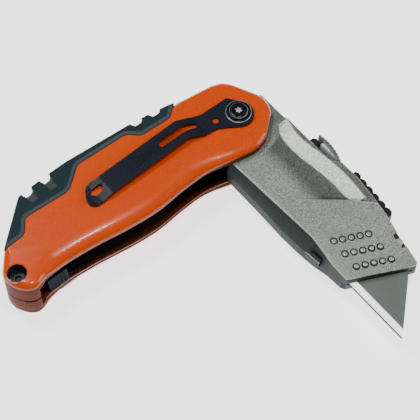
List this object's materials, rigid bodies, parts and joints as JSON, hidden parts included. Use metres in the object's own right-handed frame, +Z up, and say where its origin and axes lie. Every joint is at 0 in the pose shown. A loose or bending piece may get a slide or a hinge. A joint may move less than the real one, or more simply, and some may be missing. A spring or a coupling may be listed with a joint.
{
  "type": "folding utility knife",
  "caption": "Folding utility knife, half folded: metal handle with rubber spine, pocket clip and blade store; pivoting head with sliding trapezoid blade and release lever.",
  "frame": {"origin": "middle of the knife's bounding box at rest, on the handle's underside", "axes": "+Z up out of the clip side of the handle, handle along -X from its pivot, spine towards +Y; at rest the head points along -Y"},
  "size_m": [0.1239, 0.1238, 0.0242],
  "materials": {
    "orange": "satin powder coat",
    "rubber": "matte",
    "liner": "brushed",
    "black_steel": "black oxide, satin",
    "spacer": "matte",
    "steel": "brushed",
    "head_cast": "bead-blasted, clear coated",
    "blade_steel": "ground",
    "knurled": "nickel plated",
    "black_plastic": "matte",
    "carrier": "matte"
  },
  "bodies": {
    "handle": {"top_shell": "orange", "bottom_shell": "orange", "top_grip": "rubber", "bottom_grip": "rubber", "top_liner": "liner", "bottom_liner": "liner", "back_spacer": "spacer", "tail_block": "steel", "tail_screws": "black_steel", "spine_screws": "steel", "stop_pin": "steel", "pivot_bolt": "steel", "pivot_screw": "black_steel", "clip_washer": "black_steel", "pivot_washers": "steel", "pocket_clip": "black_steel", "spare_blades": "blade_steel", "hatch_pin": "steel"},
    "hatch": {"storage_hatch": "black_plastic"},
    "latch": {"hatch_latch": "black_plastic"},
    "lock": {"lock_leaf": "liner"},
    "head": {"head_housing": "head_cast", "head_cover": "head_cast", "head_screws": "steel", "lever_pin": "steel", "lever_spring": "steel"},
    "carriage": {"blade_carrier": "carrier", "blade": "blade_steel", "slider_base": "black_plastic"},
    "button": {"slider_button": "knurled"},
    "lever": {"release_lever": "black_plastic"}
  },
  "joints": [
    {"name": "head_fold", "type": "hinge", "parent": "handle", "child": "head", "pos_m": [0.04171, 0.03696, 0.0105], "axis": [0, 0, 1], "range_deg": [-86.1, 90.9]},
    {"name": "blade_slide", "type": "slide", "parent": "head", "child": "carriage", "axis": [-0.0157, -0.9999, 0], "range_m": [-0.027, 0]},
    {"name": "button_press", "type": "slide", "parent": "carriage", "child": "button", "axis": [-0.9999, 0.0157, 0], "range_m": [0, 0.0008], "stiffness_N_per_m": 1500},
    {"name": "lever_press", "type": "hinge", "parent": "head", "child": "lever", "pos_m": [0.05642, -0.00688, 0.0105], "axis": [0, 0, 1], "range_deg": [-3.5, 0], "stiffness_Nm_per_rad": 0.5},
    {"name": "lock_release", "type": "hinge", "parent": "handle", "child": "lock", "pos_m": [0.01171, 0.03676, 0.004], "axis": [0, 1, 0], "range_deg": [0, 2.5], "stiffness_Nm_per_rad": 1.5},
    {"name": "hatch_hinge", "type": "hinge", "parent": "handle", "child": "hatch", "pos_m": [-0.01229, 0.05416, 0.001], "axis": [1, 0, 0], "range_deg": [0, 75]},
    {"name": "latch_slide", "type": "slide", "parent": "handle", "child": "latch", "axis": [-1, 0, 0], "range_m": [0, 0.0022]}
  ]
}
